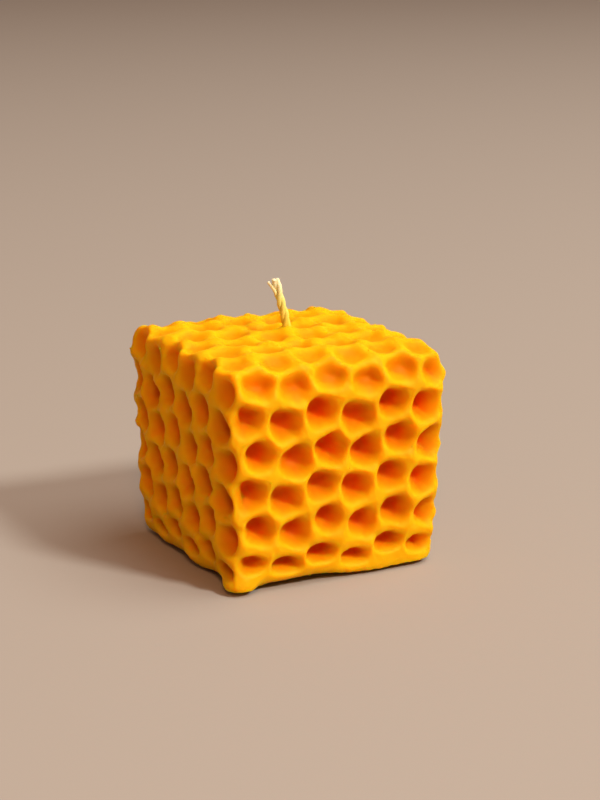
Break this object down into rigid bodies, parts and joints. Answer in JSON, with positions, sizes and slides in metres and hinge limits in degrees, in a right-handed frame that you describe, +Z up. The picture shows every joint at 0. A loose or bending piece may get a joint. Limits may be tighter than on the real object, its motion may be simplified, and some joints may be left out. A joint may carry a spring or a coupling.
{
  "type": "honeycomb candle",
  "caption": "Cast beeswax cube candle with honeycomb cell relief on its sides and top, and a plied cotton wick.",
  "frame": {"origin": "middle of the flat base, on the surface that the candle stands on", "axes": "+Z up along the wick; +X and +Y square to the sides"},
  "size_m": [0.06, 0.06, 0.0669],
  "materials": {
    "beeswax": "satin yellow beeswax, lit through at its thin rims",
    "cotton": "undyed cotton yarn, waxed where it leaves the body"
  },
  "bodies": {
    "root": {"wax_body": "beeswax", "wick_yarn_1": "cotton", "wick_yarn_2": "cotton", "wick_yarn_3": "cotton"}
  },
  "joints": []
}
